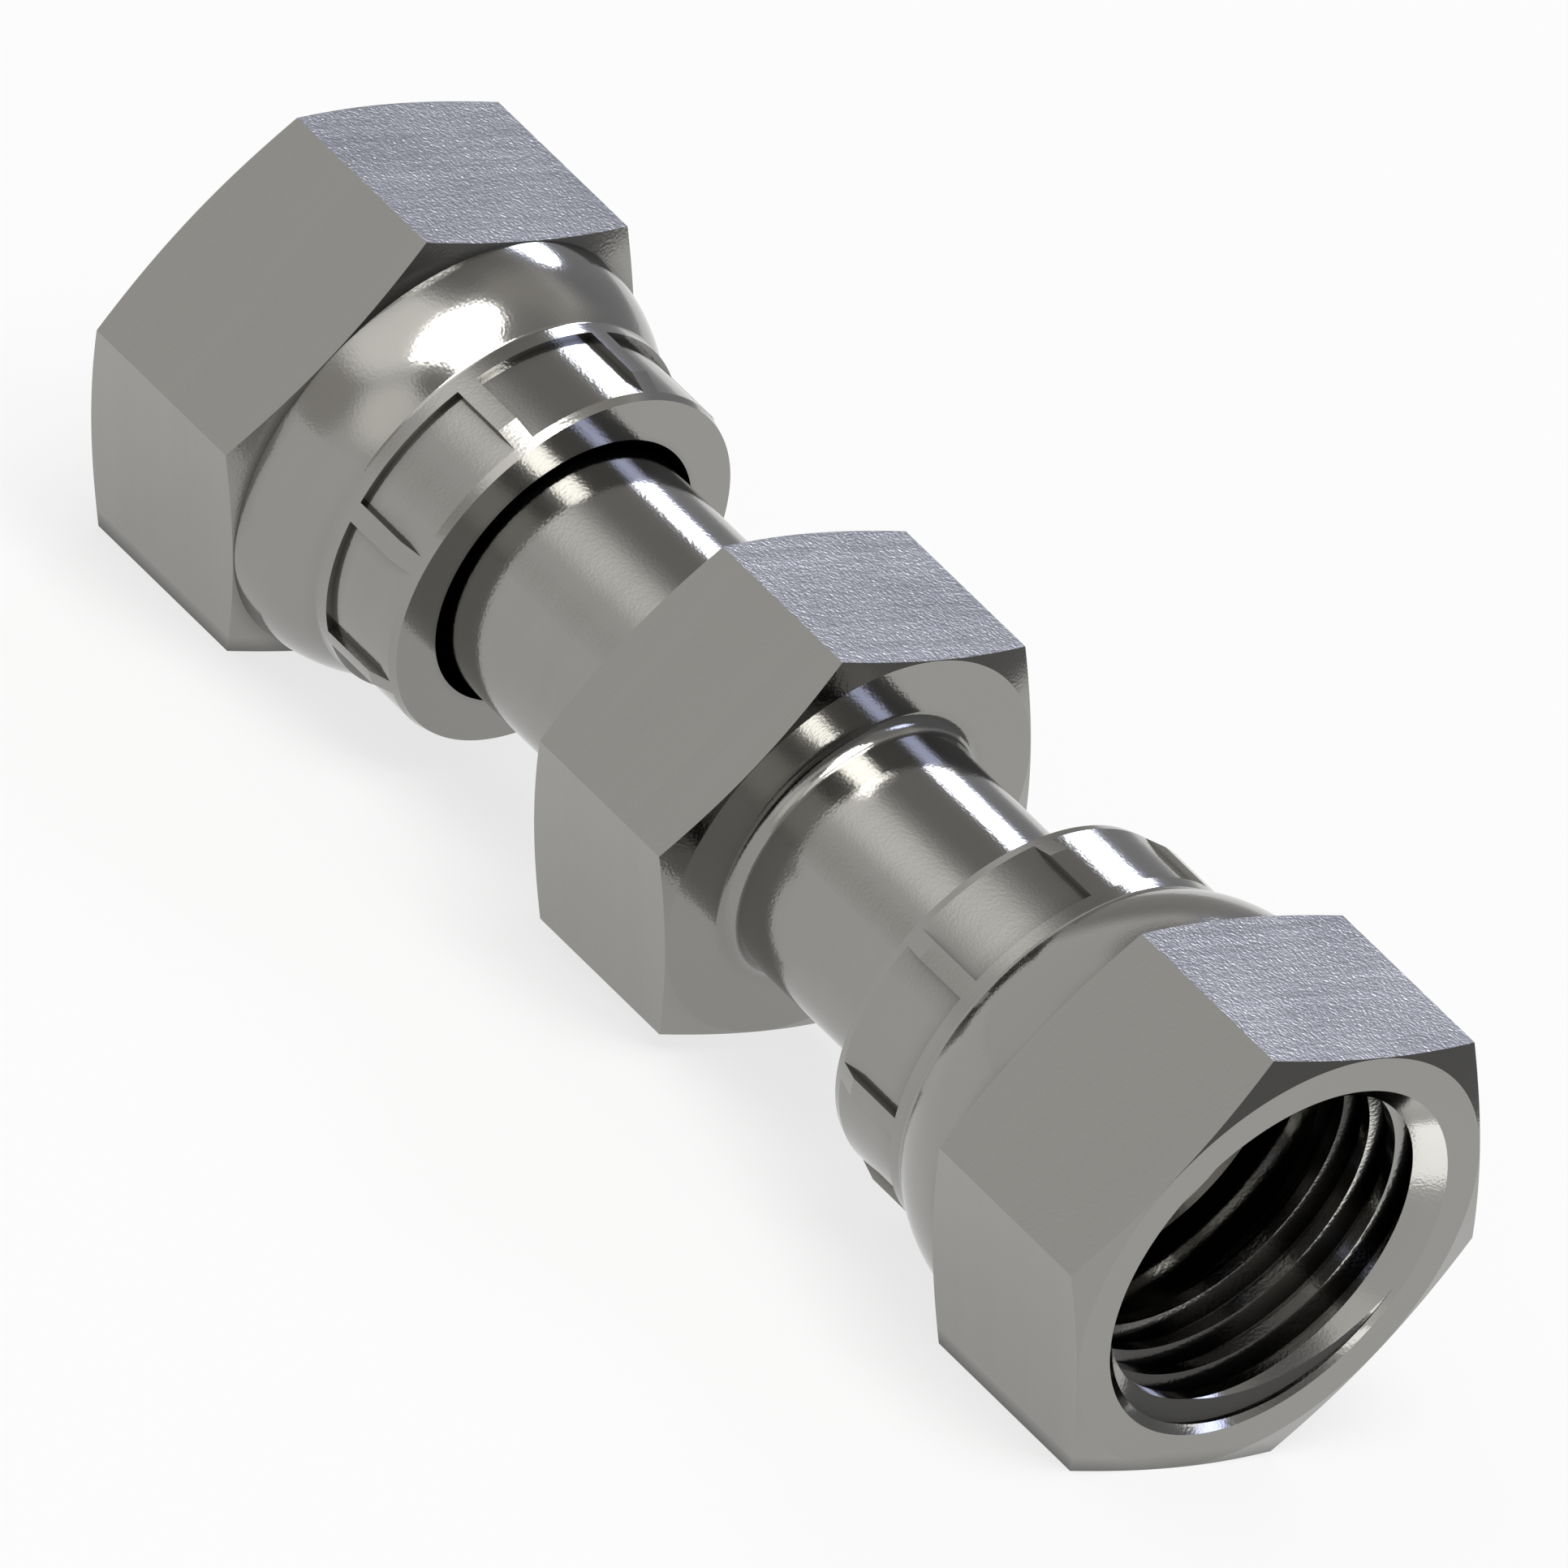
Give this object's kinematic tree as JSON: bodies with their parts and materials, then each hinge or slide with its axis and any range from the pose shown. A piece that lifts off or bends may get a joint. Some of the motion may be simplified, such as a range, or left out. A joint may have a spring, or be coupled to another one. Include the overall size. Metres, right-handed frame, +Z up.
{
  "type": "swivel fitting",
  "caption": "Straight tube fitting with a hexagon in the middle and a crimped swivel nut with a threaded mouth on each end.",
  "frame": {"origin": "centre of the fitting, on its axis", "axes": "+X along the axis out of the right nut's mouth, +Z up from the lowest flats of the nuts"},
  "size_m": [0.0556, 0.0202, 0.0174],
  "materials": {
    "body_steel": "smooth turned steel",
    "nut_steel": "smooth turned steel"
  },
  "bodies": {
    "body": {"body": "body_steel"},
    "left_nut": {"left_nut": "nut_steel"},
    "right_nut": {"right_nut": "nut_steel"}
  },
  "joints": [
    {"name": "left_nut_swivel", "type": "hinge", "parent": "body", "child": "left_nut", "pos_m": [-0.02, 0, 0], "axis": [-1, 0, 0], "continuous": true},
    {"name": "right_nut_swivel", "type": "hinge", "parent": "body", "child": "right_nut", "pos_m": [0.02, 0, 0], "axis": [1, 0, 0], "continuous": true}
  ]
}
